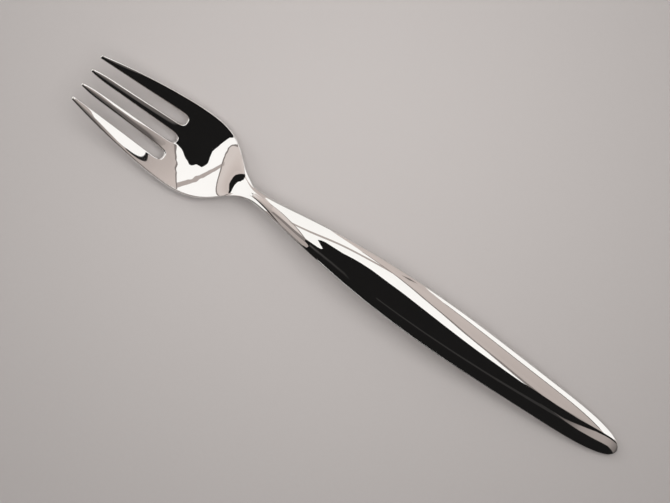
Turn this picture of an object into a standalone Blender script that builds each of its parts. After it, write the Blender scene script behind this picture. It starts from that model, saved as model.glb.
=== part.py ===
"""A table fork: one solid piece of polished steel, lying face up.

Sizes are in millimetres until a point is placed. The fork lies along X with its tines
towards -X, and rests at Z = 0 on its palm and on the end of its handle.
"""

import bmesh
import bpy
import numpy as np
from mathutils import Vector
from mathutils.geometry import interpolate_bezier

MM = 0.001

# Lengths, each from the tine tips unless its name says otherwise
LENGTH = 195.0
TINE_LENGTH = 32.6
SHOULDER_AT = 37.0
BOWL_AT = 42.5
RISE_AT = 57.8
NECK_AT = 62.2
CREST_AT = 92.0
BELLY_FROM_END = 67.5
NOSE_LENGTH = 26.0
NOSE_FULLNESS = 3
NOSE_BOW = 1.0

# Widths across the upper face, before its edges are rounded over, and how fast the tines flare
TIP_SPREAD = 16.2
HEAD_WIDTH = 25.5
NECK_WIDTH = 4.5
HANDLE_WIDTH = 15.3
END_WIDTH = 10.4
TIP_FLARE = 0.235

# Tines and the slots between them
MIDDLE_SLOT = 2.65
SIDE_SLOT = 2.95
INNER_TINE = 3.45
INNER_TINE_NEAR_TIP = 2.2
TIP_PITCH = 5.1
INNER_TIP_WIDTH = 1.1
OUTER_TIP_WIDTH = 1.4
POINT_LENGTH = 6.0
TINE_CROWN = 0.2
EDGE_ROUNDING = 0.5
SLOT_END_LENGTH = 1.0
SLOT_END_TUCK = 0.35
SLOT_STEP = 0.7
SLOT_STEP_SHARPNESS = 4
ROOT_SHARPNESS = 3

# Heights and slopes of the upper face along the middle
TIP_HEIGHT = 14.8
BOWL_HEIGHT = 2.2
RISE_HEIGHT = 6.58
CREST_HEIGHT = 14.5
END_HEIGHT = 2.3
TIP_SLOPE = -0.42
RISE_SLOPE = 0.547
END_SLOPE = -0.14

# How far the edges stand above the middle of the head, and fall below the middle of the handle
TIP_DISH = 0.8
BOWL_DISH = 2.1
NECK_CROWN = 1.1
HANDLE_CROWN = 1.7
END_CROWN = 1.1
CROWN_ROUNDNESS = 0.9

# Thickness along the middle, and at the edges
TIP_THICKNESS = 0.9
TINE_THICKNESS = 2.0
PALM_THICKNESS = 2.2
NECK_THICKNESS = 3.8
HANDLE_THICKNESS = 4.4
END_THICKNESS = 3.2
HEAD_EDGE = 1.5
HANDLE_EDGE = 1.2
EDGE_THINNING = 4

# Rows of the cage along each stretch, how they crowd, and its cells across each tine
TINE_ROWS = 7
PALM_ROWS = 10
HANDLE_ROWS = 18
TIP_CROWDING = 1.3
HANDLE_CROWDING = 0.7
INNER_TINE_CELLS = 3
OUTER_TINE_CELLS = 4
COLUMN_TURN = 1.35
SMOOTHING = 1
CURVE_POINTS = 400

STEEL_COLOUR = (0.78, 0.77, 0.76, 1.0)
STEEL_ROUGHNESS = 0.06
MERGE = 0.00005


def knot(place, value, slope=0.0, before=0.4, after=0.3):
    """A place that a curve runs through, level unless it is given a slope.

    The last two are the lengths of its handles, as shares of the stretch on either side.
    """
    return place, value, slope, before, after


def profile(place, knots):
    """The value at a place along a smooth curve through knots."""
    curve = []
    for (start, low, rise, _, after), (end, high, fall, before, _) in zip(knots, knots[1:]):
        first = Vector((start, low))
        last = Vector((end, high))
        leave = first + Vector((1.0, rise)) * after * (end - start)
        arrive = last - Vector((1.0, fall)) * before * (end - start)
        curve += interpolate_bezier(first, leave, arrive, last, CURVE_POINTS)
    along, value = np.array(curve).T
    return float(np.interp(place, along, value))


def nose(along):
    """How far a place is into the blunt round end of the handle, from 0 to 1."""
    return max((along - LENGTH + NOSE_LENGTH) / NOSE_LENGTH, 0.0) ** NOSE_FULLNESS


def half_width(along):
    """Half the fork's width: full at the shoulder and the belly, slim at the neck."""
    outline = profile(along, [
        knot(0.0, TIP_SPREAD / 2, slope=TIP_FLARE, after=0.33),
        knot(SHOULDER_AT, HEAD_WIDTH / 2, before=0.26, after=0.62),
        knot(NECK_AT, NECK_WIDTH / 2, before=0.42, after=0.16),
        knot(LENGTH - BELLY_FROM_END, HANDLE_WIDTH / 2, before=0.55),
        knot(LENGTH, END_WIDTH / 2, before=0.3),
    ])
    return outline * np.sqrt(1.0 - nose(along))


def height(along):
    """Height of the upper face along the middle."""
    return profile(along, [
        knot(0.0, TIP_HEIGHT, slope=TIP_SLOPE, after=0.47),
        knot(BOWL_AT, BOWL_HEIGHT, before=0.2, after=0.44),
        knot(RISE_AT, RISE_HEIGHT, slope=RISE_SLOPE, before=0.31, after=0.33),
        knot(CREST_AT, CREST_HEIGHT, before=0.34),
        knot(LENGTH, END_HEIGHT, slope=END_SLOPE, before=0.3),
    ])


def crown(along):
    """How far the upper face falls from its middle to its edge, below zero where it is dished."""
    return profile(along, [
        knot(0.0, -TIP_DISH),
        knot(SHOULDER_AT, -BOWL_DISH, after=0.45),
        knot(NECK_AT, NECK_CROWN, before=0.3),
        knot(LENGTH - BELLY_FROM_END, HANDLE_CROWN),
        knot(LENGTH, END_CROWN),
    ])


def middle_thickness(along):
    return profile(along, [
        knot(0.0, TIP_THICKNESS),
        knot(TINE_LENGTH, TINE_THICKNESS),
        knot(BOWL_AT, PALM_THICKNESS),
        knot(NECK_AT, NECK_THICKNESS),
        knot(LENGTH - BELLY_FROM_END, HANDLE_THICKNESS),
        knot(LENGTH, END_THICKNESS),
    ])


def edge_thickness(along):
    return profile(along, [
        knot(0.0, TIP_THICKNESS),
        knot(TINE_LENGTH, HEAD_EDGE),
        knot(NECK_AT, HEAD_EDGE),
        knot(LENGTH - BELLY_FROM_END, HANDLE_EDGE),
        knot(LENGTH, HANDLE_EDGE),
    ])


def row_places():
    """Places of the cage's rows, closer by the tips, the slot ends and the nose."""
    slots_straight = TINE_LENGTH - SLOT_END_LENGTH
    tines = slots_straight * np.linspace(0.0, 1.0, TINE_ROWS) ** TIP_CROWDING
    palm = np.linspace(TINE_LENGTH + EDGE_ROUNDING, NECK_AT, PALM_ROWS + 1)
    share = np.linspace(0.0, 1.0, HANDLE_ROWS + 1)[1:]
    swing = (1.0 - np.cos(np.pi * share)) / 2
    share += HANDLE_CROWDING * (swing - share)
    handle = NECK_AT + (LENGTH - NECK_AT) * share
    return np.concatenate([tines, [TINE_LENGTH], palm, handle])


def strip(start, end, cells):
    """Columns over one tine, with a narrow cell along each edge that keeps the edge crisp."""
    margin = min(EDGE_ROUNDING, (end - start) / 4)
    inside = np.linspace(start + margin, end - margin, cells - 1)
    return np.concatenate([[start], inside, [end]])


def tine_columns(along):
    """Distances of the cage's columns from the middle, from the middle slot to the outline."""
    share = min(along / TINE_LENGTH, 1.0)
    point = max(1.0 - along / POINT_LENGTH, 0.0) ** 2
    narrowing = point * (INNER_TINE_NEAR_TIP - INNER_TIP_WIDTH) / 2
    tip = np.array([TIP_PITCH - INNER_TINE_NEAR_TIP, TIP_PITCH + INNER_TINE_NEAR_TIP]) / 2
    root = np.array([MIDDLE_SLOT / 2, MIDDLE_SLOT / 2 + INNER_TINE])
    inner = tip + share * (root - tip) + np.array([narrowing, -narrowing])
    outer_tip = TIP_SPREAD / 2 - OUTER_TIP_WIDTH
    outer = outer_tip + share * (root[1] + SIDE_SLOT - outer_tip)
    if along >= TINE_LENGTH:
        inner += np.array([-MIDDLE_SLOT, SIDE_SLOT]) / 2 * SLOT_END_TUCK
        outer -= SIDE_SLOT / 2 * SLOT_END_TUCK
    return np.concatenate([
        [0.0],
        strip(inner[0], inner[1], INNER_TINE_CELLS),
        strip(outer, half_width(along), OUTER_TINE_CELLS),
    ])


def columns(along):
    """The columns at any row: past the tines they spread out to suit the handle's crown."""
    if along <= TINE_LENGTH:
        return tine_columns(along)
    root = tine_columns(TINE_LENGTH) / half_width(TINE_LENGTH)
    turn = np.linspace(0.0, COLUMN_TURN, len(root))
    handle = np.sin(turn) / np.sin(turn[-1])
    share = min((along - TINE_LENGTH) / (NECK_AT - TINE_LENGTH), 1.0)
    ease = share * share * (3.0 - 2.0 * share)
    return half_width(along) * (root + ease * (handle - root))


def tine_fall(along, column, across):
    """How far a tine's own rounded face falls below the dish at one column."""
    inner_last = 1 + INNER_TINE_CELLS
    if column == 0:
        return 0.0
    first, last = (1, inner_last) if column <= inner_last else (inner_last + 1, len(across) - 1)
    middle = (across[first] + across[last]) / 2
    side = (across[column] - middle) / (across[last] - middle)
    fade = max(1.0 - (along / TINE_LENGTH) ** ROOT_SHARPNESS, 0.0)
    return TINE_CROWN * fade * side**2


def slot_step(row_at, side):
    """How far a row bends back towards the tips, so that the side slots end before the middle one."""
    if row_at < TINE_LENGTH:
        near = (row_at / TINE_LENGTH) ** ROOT_SHARPNESS
    else:
        near = max(BOWL_AT - row_at, 0.0) / (BOWL_AT - TINE_LENGTH)
    return SLOT_STEP * near * (1.0 - (1.0 - side) ** SLOT_STEP_SHARPNESS)


def upper_point(row_at, column):
    """A point of the upper face, and how near it is to the outline, from 0 to 1.

    The rows bow round the nose, so that the last one follows the end of the outline.
    """
    bow = NOSE_BOW * nose(row_at)
    across = columns(row_at - bow)
    side = across[column] / across[-1]
    along = row_at - bow * side**2 - slot_step(row_at, side)
    edge = np.sqrt(nose(along) + side**2 * (1.0 - nose(along)))
    fall = crown(along)
    if fall > 0.0:
        arc = 1.0 - np.sqrt(1.0 - CROWN_ROUNDNESS * edge**2)
        fall *= arc / (1.0 - np.sqrt(1.0 - CROWN_ROUNDNESS))
    else:
        fall *= edge**2
    fall += tine_fall(along, column, across)
    return Vector((along - LENGTH / 2, across[column], height(along) - fall)) * MM, edge


def fork_cage():
    """One half of the upper face: a plain grid, bent to shape, with the slots taken out."""
    places = row_places()
    rows = len(places) - 1
    cells = len(columns(0.0)) - 1
    slots = (0, 1 + INNER_TINE_CELLS)
    cage = bmesh.new()
    bmesh.ops.create_grid(cage, x_segments=rows, y_segments=cells, size=0.5)
    in_slots = []
    for face in cage.faces:
        middle = face.calc_center_median()
        row = int((middle.x + 0.5) * rows)
        cell = int((middle.y + 0.5) * cells)
        if row < TINE_ROWS and cell in slots:
            in_slots.append(face)
    bmesh.ops.delete(cage, geom=in_slots, context="FACES")

    weights = cage.verts.layers.deform.verify()
    for vert in cage.verts:
        along = places[round((vert.co.x + 0.5) * rows)]
        column = round((vert.co.y + 0.5) * cells)
        vert.co, edge = upper_point(along, column)
        middle = middle_thickness(along)
        thickness = middle + (edge_thickness(along) - middle) * edge**EDGE_THINNING
        vert[weights][0] = thickness / full_thickness()
    return cage


def full_thickness():
    return max(PALM_THICKNESS, NECK_THICKNESS, HANDLE_THICKNESS)


def steel():
    material = bpy.data.materials.new("polished_steel")
    material.use_nodes = True
    shader = material.node_tree.nodes["Principled BSDF"]
    shader.inputs["Base Color"].default_value = STEEL_COLOUR
    shader.inputs["Metallic"].default_value = 1.0
    shader.inputs["Roughness"].default_value = STEEL_ROUGHNESS
    return material


def build_fork(collection):
    cage = fork_cage()
    mesh = bpy.data.meshes.new("fork")
    cage.to_mesh(mesh)
    cage.free()
    mesh.materials.append(steel())
    mesh.shade_smooth()
    fork = bpy.data.objects.new("fork", mesh)
    fork.vertex_groups.new(name="thickness")
    collection.objects.link(fork)

    mirror = fork.modifiers.new("other half", "MIRROR")
    mirror.use_axis = (False, True, False)
    mirror.use_clip = True
    mirror.merge_threshold = MERGE

    body = fork.modifiers.new("body", "SOLIDIFY")
    body.thickness = full_thickness() * MM
    body.offset = -1.0
    body.vertex_group = "thickness"

    form = fork.modifiers.new("polished form", "SUBSURF")
    form.levels = SMOOTHING
    form.render_levels = SMOOTHING
    return fork


def main():
    for old in list(bpy.data.objects):
        bpy.data.objects.remove(old, do_unlink=True)
    collection = bpy.data.collections.new("table_fork")
    bpy.context.scene.collection.children.link(collection)
    build_fork(collection)


main()
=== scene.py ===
import functools
import math

import bmesh
import bpy
import numpy as np
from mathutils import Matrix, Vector
from mathutils.geometry import interpolate_bezier


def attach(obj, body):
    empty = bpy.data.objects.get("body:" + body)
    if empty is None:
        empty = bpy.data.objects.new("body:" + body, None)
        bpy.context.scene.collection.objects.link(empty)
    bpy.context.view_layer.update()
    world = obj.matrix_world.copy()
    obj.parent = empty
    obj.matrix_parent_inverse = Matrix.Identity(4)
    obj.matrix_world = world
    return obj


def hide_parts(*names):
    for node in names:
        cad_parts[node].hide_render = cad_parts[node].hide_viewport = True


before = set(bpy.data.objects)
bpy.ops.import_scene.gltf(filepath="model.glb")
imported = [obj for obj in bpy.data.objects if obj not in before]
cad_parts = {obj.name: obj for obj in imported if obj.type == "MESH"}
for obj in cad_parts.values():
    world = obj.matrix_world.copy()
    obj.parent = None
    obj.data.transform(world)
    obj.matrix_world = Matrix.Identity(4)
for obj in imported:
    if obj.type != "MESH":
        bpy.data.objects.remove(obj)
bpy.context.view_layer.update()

MM = 0.001

# Lengths in millimetres, each from the tine tips unless its name says otherwise
LENGTH = 195.0
TINE_LENGTH = 32.6
SHOULDER_AT = 37.0
BOWL_AT = 42.5
RISE_AT = 57.8
NECK_AT = 62.2
CREST_AT = 92.0
BELLY_FROM_END = 67.5
NOSE_LENGTH = 26.0
NOSE_FULLNESS = 3
NOSE_BOW = 1.0

# Widths across the upper face, before its edges are rounded over, and how fast the tines flare
TIP_SPREAD = 16.2
HEAD_WIDTH = 25.5
NECK_WIDTH = 4.5
HANDLE_WIDTH = 15.3
END_WIDTH = 10.4
TIP_FLARE = 0.235

# Tines and the slots between them
MIDDLE_SLOT = 2.65
SIDE_SLOT = 2.95
INNER_TINE = 3.45
INNER_TINE_NEAR_TIP = 2.2
TIP_PITCH = 5.1
INNER_TIP_WIDTH = 1.1
OUTER_TIP_WIDTH = 1.4
POINT_LENGTH = 6.0
TINE_CROWN = 0.2
EDGE_ROUNDING = 0.5
SLOT_END_LENGTH = 1.0
SLOT_END_TUCK = 0.35
SLOT_STEP = 0.7
SLOT_STEP_SHARPNESS = 4
ROOT_SHARPNESS = 3

# Heights and slopes of the upper face along the middle
TIP_HEIGHT = 14.8
BOWL_HEIGHT = 2.2
RISE_HEIGHT = 6.58
CREST_HEIGHT = 14.5
END_HEIGHT = 2.3
TIP_SLOPE = -0.42
RISE_SLOPE = 0.547
END_SLOPE = -0.14

# How far the edges stand above the middle of the head, and fall below the middle of the handle
TIP_DISH = 0.8
BOWL_DISH = 2.1
NECK_CROWN = 1.1
HANDLE_CROWN = 1.7
END_CROWN = 1.1
CROWN_ROUNDNESS = 0.9

# Thickness along the middle, and at the edges
TIP_THICKNESS = 0.9
TINE_THICKNESS = 2.0
PALM_THICKNESS = 2.2
NECK_THICKNESS = 3.8
HANDLE_THICKNESS = 4.4
END_THICKNESS = 3.2
HEAD_EDGE = 1.5
HANDLE_EDGE = 1.2
EDGE_THINNING = 4

# Rows of the cage along each stretch, how they crowd, and its cells across each tine
TINE_ROWS = 12
PALM_ROWS = 24
HANDLE_ROWS = 36
TIP_CROWDING = 1.3
HANDLE_CROWDING = 0.7
INNER_TINE_CELLS = 5
OUTER_TINE_CELLS = 8
COLUMN_TURN = 1.35
SMOOTHING = 2
CURVE_POINTS = 400
MERGE = 0.00005

# From here on lengths are in metres and angles in degrees. The camera looks straight down, turned
# so that the fork runs from upper left to lower right; only its sensor is in millimetres.
CAMERA_HEIGHT = 2.0
CAMERA_OVER = (-0.00677, 0.00018)
CAMERA_TURN = 35.24
CAMERA_REACH = 100.0
VIEW_WIDTH = 0.20166
SENSOR = 36.0

# Finish of the steel: a haze that comes and goes, and buffing marks drawn out along the fork
HAZE_SCALE = 45.0
HAZE_LOW = 0.3
HAZE_HIGH = 0.7
DULL_STEEL = (0.80, 0.79, 0.775)
BRIGHT_STEEL = (0.84, 0.832, 0.82)
LEAST_ROUGHNESS = 0.012
HAZE_ROUGHNESS = 0.022
MARK_SCALE = (60.0, 2400.0, 2400.0)
MARK_LOW = 0.4
MARK_HIGH = 0.7
MARK_ROUGHNESS = 0.01

# The table's paper, with a painted pool of light: lightest at one place and darkest from a certain distance
# on
FLOOR_SIZE = 12.0
PAINTED_POOL_CENTRE = (-0.032, 0.038, 0.0)
PAINTED_POOL_REACH = 0.22
PAPER_IN_PAINTED_POOL = (0.508, 0.4757, 0.4637)
PAPER_IN_PAINTED_SHADE = (0.306, 0.285, 0.2772)
PAPER_ROUGHNESS = 0.9
GRAIN_SCALE = 900.0
GRAIN_DEPTH = 0.008

# The room, from its dark side to its light one
DARK_SIDE = -0.5
LIGHT_SIDE = 0.6
DARK_ROOM = (0.17, 0.163, 0.158)
LIGHT_ROOM = (0.50, 0.48, 0.465)

# The lamps: where they hang, how wide they are, and their power in watts
SOFT_LAMP_AT = (0.05, 0.32, 2.4)
SOFT_LAMP_WIDTH = 2.4
SOFT_LAMP_POWER = 45.0
TINE_LAMP_AT = (-2.2, 0.1, 1.0)
TINE_LAMP_WIDTH = 1.0
TINE_LAMP_POWER = 17.0

# Heights of the sheets of cloth that hang over the fork and are mirrored in it, and gaps between them
FAR = 4.0
MIDDLE = 2.1
NEAR = 1.2
LOW = 0.25
LOWER = 0.125
OVER_CREST = 0.035
OVER_NECK = 0.02
SHEET_GAP = 0.004
LOW_GAP = 0.0005

# The least angle from straight up at which a corner of a sheet is placed
TINY_ANGLE = 1e-6

# How brightly the sheets glow, and the tint of the cloth at each brightness
WHITE = 1.16
GREY = 0.76
HEM = 0.25
BLACK = 0.011
CLOTH_TINTS = (
    (0.0, (1.0, 0.97, 0.95)),
    (0.15, (1.0, 0.88, 0.83)),
    (0.7, (1.0, 0.875, 0.82)),
    (1.0, (1.0, 0.985, 0.965)),
)


# Shape of the fork


def knot(place, value, slope=0.0, before=0.4, after=0.3):
    """A place that a curve runs through, level unless it is given a slope.

    The last two are the lengths of its handles, as shares of the stretch on either side.
    """
    return place, value, slope, before, after


@functools.cache
def curve(knots):
    """Points of a smooth curve through knots."""
    points = []
    for (start, low, rise, _, after), (end, high, fall, before, _) in zip(knots, knots[1:]):
        first = Vector((start, low))
        last = Vector((end, high))
        leave = first + Vector((1.0, rise)) * after * (end - start)
        arrive = last - Vector((1.0, fall)) * before * (end - start)
        points += interpolate_bezier(first, leave, arrive, last, CURVE_POINTS)
    return np.array(points).T


def profile(place, knots):
    """The value at a place along a smooth curve through knots."""
    along, value = curve(tuple(knots))
    return float(np.interp(place, along, value))


def nose(along):
    """How far a place is into the blunt round end of the handle, from 0 to 1."""
    return max((along - LENGTH + NOSE_LENGTH) / NOSE_LENGTH, 0.0) ** NOSE_FULLNESS


def half_width(along):
    """Half the fork's width: full at the shoulder and the belly, slim at the neck."""
    outline = profile(along, [
        knot(0.0, TIP_SPREAD / 2, slope=TIP_FLARE, after=0.33),
        knot(SHOULDER_AT, HEAD_WIDTH / 2, before=0.26, after=0.62),
        knot(NECK_AT, NECK_WIDTH / 2, before=0.42, after=0.16),
        knot(LENGTH - BELLY_FROM_END, HANDLE_WIDTH / 2, before=0.55),
        knot(LENGTH, END_WIDTH / 2, before=0.3),
    ])
    return outline * np.sqrt(1.0 - nose(along))


def height(along):
    """Height of the upper face along the middle."""
    return profile(along, [
        knot(0.0, TIP_HEIGHT, slope=TIP_SLOPE, after=0.47),
        knot(BOWL_AT, BOWL_HEIGHT, before=0.2, after=0.44),
        knot(RISE_AT, RISE_HEIGHT, slope=RISE_SLOPE, before=0.31, after=0.33),
        knot(CREST_AT, CREST_HEIGHT, before=0.34),
        knot(LENGTH, END_HEIGHT, slope=END_SLOPE, before=0.3),
    ])


def crown(along):
    """How far the upper face falls from its middle to its edge, below zero where it is dished."""
    return profile(along, [
        knot(0.0, -TIP_DISH),
        knot(SHOULDER_AT, -BOWL_DISH, after=0.45),
        knot(NECK_AT, NECK_CROWN, before=0.3),
        knot(LENGTH - BELLY_FROM_END, HANDLE_CROWN),
        knot(LENGTH, END_CROWN),
    ])


def middle_thickness(along):
    return profile(along, [
        knot(0.0, TIP_THICKNESS),
        knot(TINE_LENGTH, TINE_THICKNESS),
        knot(BOWL_AT, PALM_THICKNESS),
        knot(NECK_AT, NECK_THICKNESS),
        knot(LENGTH - BELLY_FROM_END, HANDLE_THICKNESS),
        knot(LENGTH, END_THICKNESS),
    ])


def edge_thickness(along):
    return profile(along, [
        knot(0.0, TIP_THICKNESS),
        knot(TINE_LENGTH, HEAD_EDGE),
        knot(NECK_AT, HEAD_EDGE),
        knot(LENGTH - BELLY_FROM_END, HANDLE_EDGE),
        knot(LENGTH, HANDLE_EDGE),
    ])


def row_places():
    """Places of the cage's rows, closer by the tips, the slot ends and the nose."""
    slots_straight = TINE_LENGTH - SLOT_END_LENGTH
    tines = slots_straight * np.linspace(0.0, 1.0, TINE_ROWS) ** TIP_CROWDING
    palm = np.linspace(TINE_LENGTH + EDGE_ROUNDING, NECK_AT, PALM_ROWS + 1)
    share = np.linspace(0.0, 1.0, HANDLE_ROWS + 1)[1:]
    swing = (1.0 - np.cos(np.pi * share)) / 2
    share += HANDLE_CROWDING * (swing - share)
    handle = NECK_AT + (LENGTH - NECK_AT) * share
    return np.concatenate([tines, [TINE_LENGTH], palm, handle])


def strip(start, end, cells):
    """Columns over one tine, with a narrow cell along each edge that keeps the edge crisp."""
    margin = min(EDGE_ROUNDING, (end - start) / 4)
    inside = np.linspace(start + margin, end - margin, cells - 1)
    return np.concatenate([[start], inside, [end]])


def tine_columns(along):
    """Distances of the cage's columns from the middle, from the middle slot to the outline."""
    share = min(along / TINE_LENGTH, 1.0)
    point = max(1.0 - along / POINT_LENGTH, 0.0) ** 2
    narrowing = point * (INNER_TINE_NEAR_TIP - INNER_TIP_WIDTH) / 2
    tip = np.array([TIP_PITCH - INNER_TINE_NEAR_TIP, TIP_PITCH + INNER_TINE_NEAR_TIP]) / 2
    root = np.array([MIDDLE_SLOT / 2, MIDDLE_SLOT / 2 + INNER_TINE])
    inner = tip + share * (root - tip) + np.array([narrowing, -narrowing])
    outer_tip = TIP_SPREAD / 2 - OUTER_TIP_WIDTH
    outer = outer_tip + share * (root[1] + SIDE_SLOT - outer_tip)
    if along >= TINE_LENGTH:
        inner += np.array([-MIDDLE_SLOT, SIDE_SLOT]) / 2 * SLOT_END_TUCK
        outer -= SIDE_SLOT / 2 * SLOT_END_TUCK
    return np.concatenate([
        [0.0],
        strip(inner[0], inner[1], INNER_TINE_CELLS),
        strip(outer, half_width(along), OUTER_TINE_CELLS),
    ])


def columns(along):
    """The columns at any row: past the tines they spread out to suit the handle's crown."""
    if along <= TINE_LENGTH:
        return tine_columns(along)
    root = tine_columns(TINE_LENGTH) / half_width(TINE_LENGTH)
    turn = np.linspace(0.0, COLUMN_TURN, len(root))
    handle = np.sin(turn) / np.sin(turn[-1])
    share = min((along - TINE_LENGTH) / (NECK_AT - TINE_LENGTH), 1.0)
    ease = share * share * (3.0 - 2.0 * share)
    return half_width(along) * (root + ease * (handle - root))


def tine_fall(along, column, across):
    """How far a tine's own rounded face falls below the dish at one column."""
    inner_last = 1 + INNER_TINE_CELLS
    if column == 0:
        return 0.0
    first, last = (1, inner_last) if column <= inner_last else (inner_last + 1, len(across) - 1)
    middle = (across[first] + across[last]) / 2
    side = (across[column] - middle) / (across[last] - middle)
    fade = max(1.0 - (along / TINE_LENGTH) ** ROOT_SHARPNESS, 0.0)
    return TINE_CROWN * fade * side**2


def slot_step(row_at, side):
    """How far a row bends back towards the tips, so that the side slots end before the middle one."""
    if row_at < TINE_LENGTH:
        near = (row_at / TINE_LENGTH) ** ROOT_SHARPNESS
    else:
        near = max(BOWL_AT - row_at, 0.0) / (BOWL_AT - TINE_LENGTH)
    return SLOT_STEP * near * (1.0 - (1.0 - side) ** SLOT_STEP_SHARPNESS)


def upper_point(row_at, column):
    """A point of the upper face, and how near it is to the outline, from 0 to 1.

    The rows bow round the nose, so that the last one follows the end of the outline.
    """
    bow = NOSE_BOW * nose(row_at)
    across = columns(row_at - bow)
    side = across[column] / across[-1]
    along = row_at - bow * side**2 - slot_step(row_at, side)
    edge = np.sqrt(nose(along) + side**2 * (1.0 - nose(along)))
    fall = crown(along)
    if fall > 0.0:
        arc = 1.0 - np.sqrt(1.0 - CROWN_ROUNDNESS * edge**2)
        fall *= arc / (1.0 - np.sqrt(1.0 - CROWN_ROUNDNESS))
    else:
        fall *= edge**2
    fall += tine_fall(along, column, across)
    return Vector((along - LENGTH / 2, across[column], height(along) - fall)) * MM, edge


def fork_cage():
    """One half of the upper face: a plain grid, bent to shape, with the slots taken out."""
    places = row_places()
    rows = len(places) - 1
    cells = len(columns(0.0)) - 1
    slots = (0, 1 + INNER_TINE_CELLS)
    cage = bmesh.new()
    bmesh.ops.create_grid(cage, x_segments=rows, y_segments=cells, size=0.5)
    in_slots = []
    for face in cage.faces:
        middle = face.calc_center_median()
        row = int((middle.x + 0.5) * rows)
        cell = int((middle.y + 0.5) * cells)
        if row < TINE_ROWS and cell in slots:
            in_slots.append(face)
    bmesh.ops.delete(cage, geom=in_slots, context="FACES")

    weights = cage.verts.layers.deform.verify()
    for vert in cage.verts:
        along = places[round((vert.co.x + 0.5) * rows)]
        column = round((vert.co.y + 0.5) * cells)
        vert.co, edge = upper_point(along, column)
        middle = middle_thickness(along)
        thickness = middle + (edge_thickness(along) - middle) * edge**EDGE_THINNING
        vert[weights][0] = thickness / full_thickness()
    return cage


def full_thickness():
    return max(PALM_THICKNESS, NECK_THICKNESS, HANDLE_THICKNESS)


def add_object(name, data):
    """An object with this data, linked to the scene."""
    thing = bpy.data.objects.new(name, data)
    bpy.context.scene.collection.objects.link(thing)
    return thing


def build_fork(material):
    """The fork as one mesh, smoothed further than the part so that it mirrors without facets."""
    cage = fork_cage()
    mesh = bpy.data.meshes.new("fork_cage")
    cage.to_mesh(mesh)
    cage.free()
    mesh.materials.append(material)
    mesh.shade_smooth()
    fork = add_object("polished_fork", mesh)
    fork.vertex_groups.new(name="thickness")

    mirror = fork.modifiers.new("other half", "MIRROR")
    mirror.use_axis = (False, True, False)
    mirror.use_clip = True
    mirror.merge_threshold = MERGE

    body = fork.modifiers.new("body", "SOLIDIFY")
    body.thickness = full_thickness() * MM
    body.offset = -1.0
    body.vertex_group = "thickness"

    form = fork.modifiers.new("polished form", "SUBSURF")
    form.levels = SMOOTHING
    form.render_levels = SMOOTHING

    shaped = fork.evaluated_get(bpy.context.evaluated_depsgraph_get())
    fork.data = bpy.data.meshes.new_from_object(shaped)
    fork.modifiers.clear()
    return fork


# Materials


def node_tool(tree):
    """A short way to add a node with its settings and inputs, and link other nodes to it."""
    def add(kind, settings=None, **inputs):
        node = tree.nodes.new(kind)
        for name, value in (settings or {}).items():
            setattr(node, name, value)
        for name, value in inputs.items():
            socket = node.inputs[name.replace("_", " ")]
            if isinstance(value, bpy.types.NodeSocket):
                tree.links.new(value, socket)
            else:
                socket.default_value = value
        return node
    return add


def ramp(add, factor, stops):
    """A colour that runs from stop to stop, each given by its place from 0 to 1 and its colour."""
    node = add("ShaderNodeValToRGB", Fac=factor)
    elements = node.color_ramp.elements
    first, *between, last = stops
    for element, (place, colour) in zip(elements, (first, last)):
        element.position = place
        element.color = (*colour, 1.0)
    for place, colour in between:
        elements.new(place).color = (*colour, 1.0)
    return node.outputs["Color"]


def new_material(name):
    """A material, its node tree and the short way to add nodes to it."""
    material = bpy.data.materials.new(name)
    material.use_nodes = True
    return material, material.node_tree, node_tool(material.node_tree)


def polished_steel():
    """Mirror-polished steel with a thin uneven haze and faint buffing marks along the fork."""
    material, tree, add = new_material("polished_steel")
    shader = tree.nodes["Principled BSDF"]
    place = add("ShaderNodeTexCoord").outputs["Object"]

    haze_noise = add("ShaderNodeTexNoise", Vector=place, Scale=HAZE_SCALE, Detail=4.0, Roughness=0.6)
    haze = haze_noise.outputs["Fac"]
    tone = ramp(add, haze, [(HAZE_LOW, DULL_STEEL), (HAZE_HIGH, BRIGHT_STEEL)])
    hazy = add("ShaderNodeMapRange", Value=haze, From_Min=HAZE_LOW, From_Max=HAZE_HIGH,
               To_Min=LEAST_ROUGHNESS, To_Max=HAZE_ROUGHNESS)

    stretched = add("ShaderNodeMapping", Vector=place, Scale=MARK_SCALE)
    marks = add("ShaderNodeTexNoise", Vector=stretched.outputs["Vector"], Scale=1.0, Detail=3.0)
    marked = add("ShaderNodeMapRange", Value=marks.outputs["Fac"], From_Min=MARK_LOW, From_Max=MARK_HIGH,
                 To_Min=0.0, To_Max=MARK_ROUGHNESS)
    roughness = add("ShaderNodeMath", {"operation": "ADD"})
    tree.links.new(hazy.outputs["Result"], roughness.inputs[0])
    tree.links.new(marked.outputs["Result"], roughness.inputs[1])

    shader.inputs["Metallic"].default_value = 1.0
    tree.links.new(tone, shader.inputs["Base Color"])
    tree.links.new(roughness.outputs["Value"], shader.inputs["Roughness"])
    return material


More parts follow.
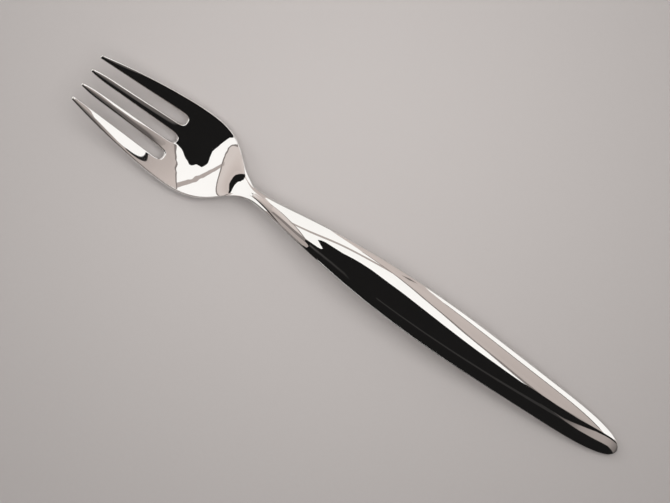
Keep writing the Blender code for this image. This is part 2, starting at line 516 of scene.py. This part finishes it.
def table_paper():
    """Pale warm grey paper with a fine grain and a painted pool of light: it darkens softly away from its
    lightest place.
    """
    material, tree, add = new_material("table_paper")
    shader = tree.nodes["Principled BSDF"]
    place = add("ShaderNodeTexCoord").outputs["Object"]
    centred = add("ShaderNodeMapping", Vector=place, Location=[-value for value in PAINTED_POOL_CENTRE])
    distance = add("ShaderNodeVectorMath", {"operation": "LENGTH"})
    tree.links.new(centred.outputs["Vector"], distance.inputs[0])
    grain = add("ShaderNodeTexNoise", Vector=place, Scale=GRAIN_SCALE, Detail=3.0)
    grained = add("ShaderNodeMath", {"operation": "MULTIPLY_ADD"})
    tree.links.new(grain.outputs["Fac"], grained.inputs[0])
    grained.inputs[1].default_value = GRAIN_DEPTH
    tree.links.new(distance.outputs["Value"], grained.inputs[2])
    # Painted pool of light: the paper's colour darkens with distance from its lightest place.
    fall = add("ShaderNodeMapRange", {"interpolation_type": "SMOOTHSTEP"},
               Value=grained.outputs["Value"], From_Max=PAINTED_POOL_REACH)
    tone = ramp(add, fall.outputs["Result"], [(0.0, PAPER_IN_PAINTED_POOL), (1.0, PAPER_IN_PAINTED_SHADE)])
    tree.links.new(tone, shader.inputs["Base Color"])
    shader.inputs["Roughness"].default_value = PAPER_ROUGHNESS
    return material


def glowing_tent_cloth():
    """Cloth that glows by itself, as bright at each place as its sheet says: no lamp lights it, and its glow
    paints what the steel mirrors.
    """
    material, tree, add = new_material("glowing_tent_cloth")
    tree.nodes.remove(tree.nodes["Principled BSDF"])
    brightness = add("ShaderNodeAttribute", {"attribute_name": "glow"}).outputs["Fac"]
    tint = ramp(add, brightness, CLOTH_TINTS)
    glow = add("ShaderNodeEmission", Color=tint, Strength=brightness)
    tree.links.new(glow.outputs["Emission"], tree.nodes["Material Output"].inputs["Surface"])
    return material


# Studio


def hang(name, points, faces, glows, cloth):
    """A glowing sheet with these points and faces, and a brightness at each point, seen only mirrored in the
    steel as a painted reflection; it lights the table not at all and casts no shadow.
    """
    mesh = bpy.data.meshes.new(name)
    mesh.from_pydata(points, [], faces)
    glow = mesh.attributes.new("glow", "FLOAT", "POINT")
    glow.data.foreach_set("value", glows)
    mesh.materials.append(cloth)
    sheet = add_object(name, mesh)
    # Painted reflection: the sheet is seen only mirrored in the steel, and the camera, the table's light and
    # the shadows all pass it by.
    sheet.visible_camera = False
    sheet.visible_diffuse = False
    sheet.visible_shadow = False


def overhead(lean, side, level):
    """A point at one height, by where it is seen from the fork.

    The first two are degrees from straight up, towards the handle and towards the picture's
    upper right.
    """
    angle = max(math.hypot(lean, side), TINY_ANGLE)
    reach = level * math.tan(math.radians(angle)) / angle
    return Vector((lean * reach, side * reach, level))


def plain_sheet(name, level, cloth, corners, glow=None):
    """A level sheet, of one brightness or with a brightness given at each corner."""
    points = [overhead(corner[0], corner[1], level) for corner in corners]
    glows = [corner[2] if glow is None else glow for corner in corners]
    hang(name, points, [range(len(points))], glows, cloth)


def shaded_sheet(name, level, cloth, rows):
    """A level sheet given by rows of corners, so that its brightness runs evenly from row to row."""
    corners = [corner for row in rows for corner in row]
    points = [overhead(lean, side, level) for lean, side, _ in corners]
    width = len(rows[0])
    starts = [row * width + step for row in range(len(rows) - 1) for step in range(width - 1)]
    faces = [(start, start + 1, start + width + 1, start + width) for start in starts]
    hang(name, points, faces, [corner[2] for corner in corners], cloth)


def band(name, level, cloth, line, width, glow):
    """A narrow level strip of one brightness, along a line of corners."""
    points = [Vector(corner[:2]) for corner in line]
    left = []
    right = []
    for index, point in enumerate(points):
        before = points[max(index - 1, 0)]
        after = points[min(index + 1, len(points) - 1)]
        normal = (after - before).orthogonal().normalized() * width / 2
        left.append(point + normal)
        right.append(point - normal)
    plain_sheet(name, level, cloth, left + right[::-1], glow)


def build_far_sheets(cloth):
    """Glowing sheets whose glow paints the reflections over the fork: a white roof with a dimmer seam,
    a grey panel on its left, and on its right one that hangs lower.

    Both panels glow less along a dark hem at the edge that they turn to the roof's middle.
    """
    left_edge = [
        (-38.5, 15, GREY), (-33.2, 9.8, GREY), (-29.8, 5, GREY), (-26.5, 0, GREY), (-22.8, -4.5, GREY),
        (-19.6, -9, GREY), (-16.8, -14.5, GREY), (-15.2, -18, GREY), (-15.6, -20.2, GREY),
        (-17.6, -21.2, GREY), (-22, -20.8, GREY), (-30, -20.5, 0.6)]
    right_edge = [
        (1.4, 37.3, 0.7), (5, 33, 0.7), (8.6, 28.5, 0.68), (10.9, 24.5, 0.67), (13.1, 20, 0.66),
        (15.5, 16, 0.64), (17.3, 12, 0.62), (19.2, 9, 0.58), (20.6, 5, 0.54), (21.8, 1.5, 0.52)]
    plain_sheet("roof", FAR, cloth, [
        (-72, -20), (-60, -45), (-45, -62), (-30, -66), (27, -62), (62, -27), (62, 27), (27, 62), (-27, 62),
        (-62, 27)], WHITE)
    plain_sheet("left_panel", FAR - SHEET_GAP, cloth, [
        (-38, 64, 0.55), (-43, 50, 0.58), (-44, 38, 0.6), (-43, 31, GREY), *left_edge, (-37.5, -19, 0.6),
        (-38.5, -12, 0.65), (-41, -8, 0.7), (-44.5, -5, 0.7), (-46.5, 1, 0.65), (-45.2, 17, 0.65),
        (-46.3, 23, 0.62), (-49.5, 25, 0.6), (-58, 32, 0.6), (-62, 45, 0.55), (-52, 64, 0.5)])
    plain_sheet("right_panel", MIDDLE, cloth, [
        (-13, 64, 0.6), (-8, 52, 0.65), (-4, 46, 0.67), (-1, 41.5, 0.69), *right_edge, (29, 1.5, 0.46),
        (39, 15, 0.4), (39, 30, 0.42), (31, 45, 0.5), (21, 64, 0.55)])
    band("seam", FAR - 2 * SHEET_GAP, cloth, [
        (-24.5, -6), (-20.5, -0.8), (-14.3, 6.2), (-8.6, 13), (-3.8, 19), (0.2, 23.2), (3.6, 26.5),
        (8, 31.5)], width=3.6, glow=0.5)
    band("left_panel_hem", FAR - 2 * SHEET_GAP, cloth, left_edge, width=1.5, glow=0.27)
    band("right_panel_hem", MIDDLE - SHEET_GAP, cloth, right_edge, width=1.0, glow=HEM)
    # A dim streak on the right panel, painted into its reflection.
    band("mark", MIDDLE - SHEET_GAP, cloth, [(8.8, 41), (9.4, 50)], width=1.2, glow=0.2)


def build_near_sheets(cloth):
    """Glowing sheets whose glow paints reflections: a black sheet for a dark opening over the fork,
    white, dim and grey cards to its right, a dark line along the white card, and a dark crescent.
    """
    plain_sheet("opening", NEAR, cloth, [
        (-9.5, 0.5), (-8, 4.5), (-6.5, 6.2), (-3, 6.6), (0, 7), (2.5, 9.5), (4, 10.4), (6, 10.6), (9, 8.9),
        (11, 8.2), (12.8, 6.9), (15, 5.2), (17, 3.7), (19, 2.4), (22, 2), (24, -7.8), (28.6, -7.8),
        (36, -8), (62, -10), (62, -30), (30, -62), (-20, -62), (-17, -52), (-14.7, -42), (-13, -30),
        (-14, -26.5), (-9.5, -25), (-8, -19), (-7, -14), (-6, -9.5), (-7.5, -5)], BLACK)
    plain_sheet("white_card", NEAR, cloth, [
        (10.5, 62), (11.8, 52), (14.3, 43.5), (16.8, 40.7), (18.8, 37.8), (22, 33), (24.95, 28.4),
        (26.9, 24.6), (28.7, 20.8), (30.4, 17.3), (33, 15.3), (36.3, 15.8), (37.5, 22), (38.2, 30), (39, 42),
        (37, 52), (30, 62)], WHITE)
    # Painted shading: the dim card glows black along one edge and pale along the other.
    shaded_sheet("dim_card", NEAR - SHEET_GAP, cloth, [
        [(24, -8.2, BLACK), (28.6, -7.8, BLACK), (33, -9, BLACK), (38.5, -14, BLACK), (62, -20, BLACK)],
        [(23.4, -6.9, 0.1), (28.6, -5.5, 0.12), (33, -5, 0.13), (38.5, -5, 0.1), (62, -8, 0.06)],
        [(22, 2, 0.12), (28.6, 5.5, 0.13), (33, 5, 0.15), (38.5, 3.5, 0.14), (62, 4, 0.08)],
        [(24.5, 9.5, 0.46), (28.6, 9.5, 0.36), (33, 12.5, 0.42), (38.5, 12, 0.29), (62, 14, 0.12)],
        [(25.5, 12, 0.5), (29, 14, 0.42), (33, 15.3, 0.44), (36.3, 15.8, 0.4), (62, 30, 0.2)]])
    plain_sheet("side_card", NEAR, cloth, [
        (36.3, 15.8), (37.5, 22), (38.2, 30), (39, 42), (50, 50), (62, 30)], glow=0.5)
    band("white_card_hem", NEAR - SHEET_GAP, cloth, [
        (14.3, 43.5), (16.8, 40.7), (18.8, 37.8), (22, 33), (24.85, 28.3), (26.8, 24.5), (28.6, 20.7)],
        width=1.0, glow=0.02)
    plain_sheet("crescent", NEAR - SHEET_GAP, cloth, [
        (-39, 17), (-42.5, 15.5), (-51, 9), (-54, 3), (-53, -0.5), (-50.5, -3), (-45, -7.3), (-41, -9.9),
        (-39, -10.8), (-39, -6.8), (-41.5, -5.2), (-45.3, -2.4), (-46.7, 0), (-46, 3), (-42.5, 9),
        (-38.6, 14)], BLACK)


def build_nose_sheets(cloth):
    """Glowing sheets that paint the reflections at the end of the handle: a dark sheet low over it,
    with a dim patch and a faint line on it.
    """
    plain_sheet("low_dark", LOW, cloth, [
        (28.5, 2), (30.2, 2.1), (31.2, 3.7), (33.3, 5.1), (35.6, 7.6), (37.8, 12), (40.6, 17.6),
        (43.3, 23.7), (46, 30), (70, 30), (72, -30), (50, -60), (28.5, -60)], BLACK)
    shaded_sheet("low_dim", LOW - SHEET_GAP, cloth, [
        [(32.3, -7.7, 0.03), (33.4, -6.6, 0.07), (34.5, -5.9, 0.15), (35.4, -3.4, 0.22), (36.7, 0.7, 0.38),
         (38.9, 7.8, 0.43), (41.2, 13, 0.42), (43, 16.2, 0.38), (46.3, 19.7, 0.24), (52, 28, 0.12),
         (70, 30, 0.06)],
        [(32.3, -8.9, 0.03), (33.4, -8.5, 0.07), (34.5, -8.4, 0.15), (35.4, -8.5, 0.22), (36.7, -8.1, 0.38),
         (38.9, -6, 0.43), (41.2, -3.4, 0.42), (43.6, -2, 0.38), (46.5, -4.5, 0.24), (54, -12, 0.12),
         (71, -20, 0.05)]])
    band("faint_line", LOWER, cloth, [
        (12, -22.2), (18, -21.6), (24.5, -20.4), (30.4, -18.6), (36, -15.6), (40.4, -11.4), (44, -7)],
        width=2.4, glow=0.036)


def build_neck_sheets(cloth):
    """Small glowing sheets close over the neck and crest, whose glow paints the reflections there.

    They are a card whose glow runs from bright to dim across it, a grey skirt with a darker band of
    painted fold shade and a dark hem, a dark corner with a faint painted sheen, and a dark strap.
    """
    shaded_sheet("neck_card", OVER_NECK + LOW_GAP, cloth, [
        [(-67.9, 9, 0.72), (-65.4, 9.5, 0.7), (-60.8, 4.5, 0.68)],
        [(-68.8, 0, 0.97), (-65.3, 0, 0.72), (-60.8, -4, 0.6)],
        [(-68.5, -7.5, 0.4), (-65, -11, 0.38), (-60.6, -17, 0.3)]])
    plain_sheet("skirt", OVER_CREST, cloth, [
        (-53.7, -10), (-49.7, -9.6), (-44.8, -11.1), (-40.2, -13), (-34.6, -13), (-26, -11.8), (-26, -64),
        (-40, -70), (-49, -62), (-53.7, -34)], glow=0.48)
    # Painted shade: a darker glowing band across the skirt, as the shade of a fold.
    band("skirt_painted_fold_shade", OVER_CREST - LOW_GAP, cloth, [
        (-53, -15), (-47.4, -15.8), (-42.3, -17), (-37.3, -17.6), (-31, -17.2)], width=8.5, glow=0.26)
    band("skirt_hem", OVER_CREST - LOW_GAP, cloth, [
        (-46, -50), (-41, -56), (-36, -58), (-31, -52), (-28, -48)], width=14, glow=HEM)
    plain_sheet("low_corner", OVER_CREST - 2 * LOW_GAP, cloth, [
        (-28, -12), (-23, -10.9), (-20, -9.5), (-15, -9), (-13, -40), (-20, -64), (-31, -64), (-31, -55),
        (-30, -42), (-28, -36), (-27.6, -28), (-28.5, -22.5), (-31.5, -19.5), (-31.5, -14)], BLACK)
    # Painted sheen: a faintly glowing strip across the dark corner.
    shaded_sheet("corner_sheen", OVER_CREST - 3 * LOW_GAP, cloth, [
        [(-28, -15.5, BLACK), (-20, -15.5, BLACK), (-10, -16, BLACK), (0, -17, BLACK), (5, -18.5, BLACK)],
        [(-28, -19, 0.1), (-20, -19, 0.06), (-10, -19, 0.05), (0, -20.3, 0.04), (5, -22, BLACK)],
        [(-28, -23, BLACK), (-20, -23, BLACK), (-10, -22.8, BLACK), (0, -24, BLACK), (5, -25, BLACK)]])
    band("strap", OVER_NECK, cloth, [
        (-68.4, -8.4), (-67, -9.6), (-65.7, -11.2), (-64.4, -13.4), (-63.1, -16.2), (-61.2, -20.4),
        (-59.8, -24), (-58.4, -28), (-57, -32), (-55.5, -35.5), (-54, -38.5)], width=3.0, glow=0.02)


def build_tent():
    """All the glowing sheets that hang over the fork, whose glow paints its reflections."""
    cloth = glowing_tent_cloth()
    build_far_sheets(cloth)
    build_near_sheets(cloth)
    build_nose_sheets(cloth)
    build_neck_sheets(cloth)


def build_room():
    """A room that is light behind the upper right of the picture and dark behind its lower left."""
    world = bpy.data.worlds.new("room")
    world.use_nodes = True
    bpy.context.scene.world = world
    tree = world.node_tree
    add = node_tool(tree)
    place = add("ShaderNodeTexCoord").outputs["Generated"]
    axes = add("ShaderNodeSeparateXYZ", Vector=place)
    side = add("ShaderNodeMapRange", Value=axes.outputs["Y"], From_Min=DARK_SIDE, From_Max=LIGHT_SIDE)
    tone = ramp(add, side.outputs["Result"], [(0.0, DARK_ROOM), (1.0, LIGHT_ROOM)])
    tree.links.new(tone, tree.nodes["Background"].inputs["Color"])


def build_floor():
    """A wide level table."""
    mesh = bpy.data.meshes.new("floor")
    plane = bmesh.new()
    bmesh.ops.create_grid(plane, x_segments=1, y_segments=1, size=FLOOR_SIZE / 2)
    plane.to_mesh(mesh)
    plane.free()
    mesh.materials.append(table_paper())
    floor = add_object("floor", mesh)


def build_lamp(name, place, width, power):
    """A soft round lamp that is turned to the fork, lights the table and isn't mirrored in the steel."""
    data = bpy.data.lights.new(name, "AREA")
    data.shape = "DISK"
    data.size = width
    data.energy = power
    lamp = add_object(name, data)
    lamp.location = place
    lamp.rotation_mode = "QUATERNION"
    lamp.rotation_quaternion = (-Vector(place)).to_track_quat("-Z", "Y")
    lamp.visible_glossy = False


def build_camera():
    """A camera straight above the fork."""
    data = bpy.data.cameras.new("camera")
    data.sensor_width = SENSOR
    data.lens = SENSOR * CAMERA_HEIGHT / VIEW_WIDTH
    data.clip_end = CAMERA_REACH
    camera = add_object("camera", data)
    camera.location = (*CAMERA_OVER, CAMERA_HEIGHT)
    camera.rotation_euler = (0.0, 0.0, math.radians(CAMERA_TURN))
    bpy.context.scene.camera = camera


bpy.context.scene.view_settings.view_transform = "Standard"
fork = build_fork(polished_steel())
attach(fork, "root")
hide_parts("fork")
build_floor()
build_tent()
build_room()
build_lamp("soft_lamp", SOFT_LAMP_AT, SOFT_LAMP_WIDTH, SOFT_LAMP_POWER)
build_lamp("tine_lamp", TINE_LAMP_AT, TINE_LAMP_WIDTH, TINE_LAMP_POWER)
build_camera()
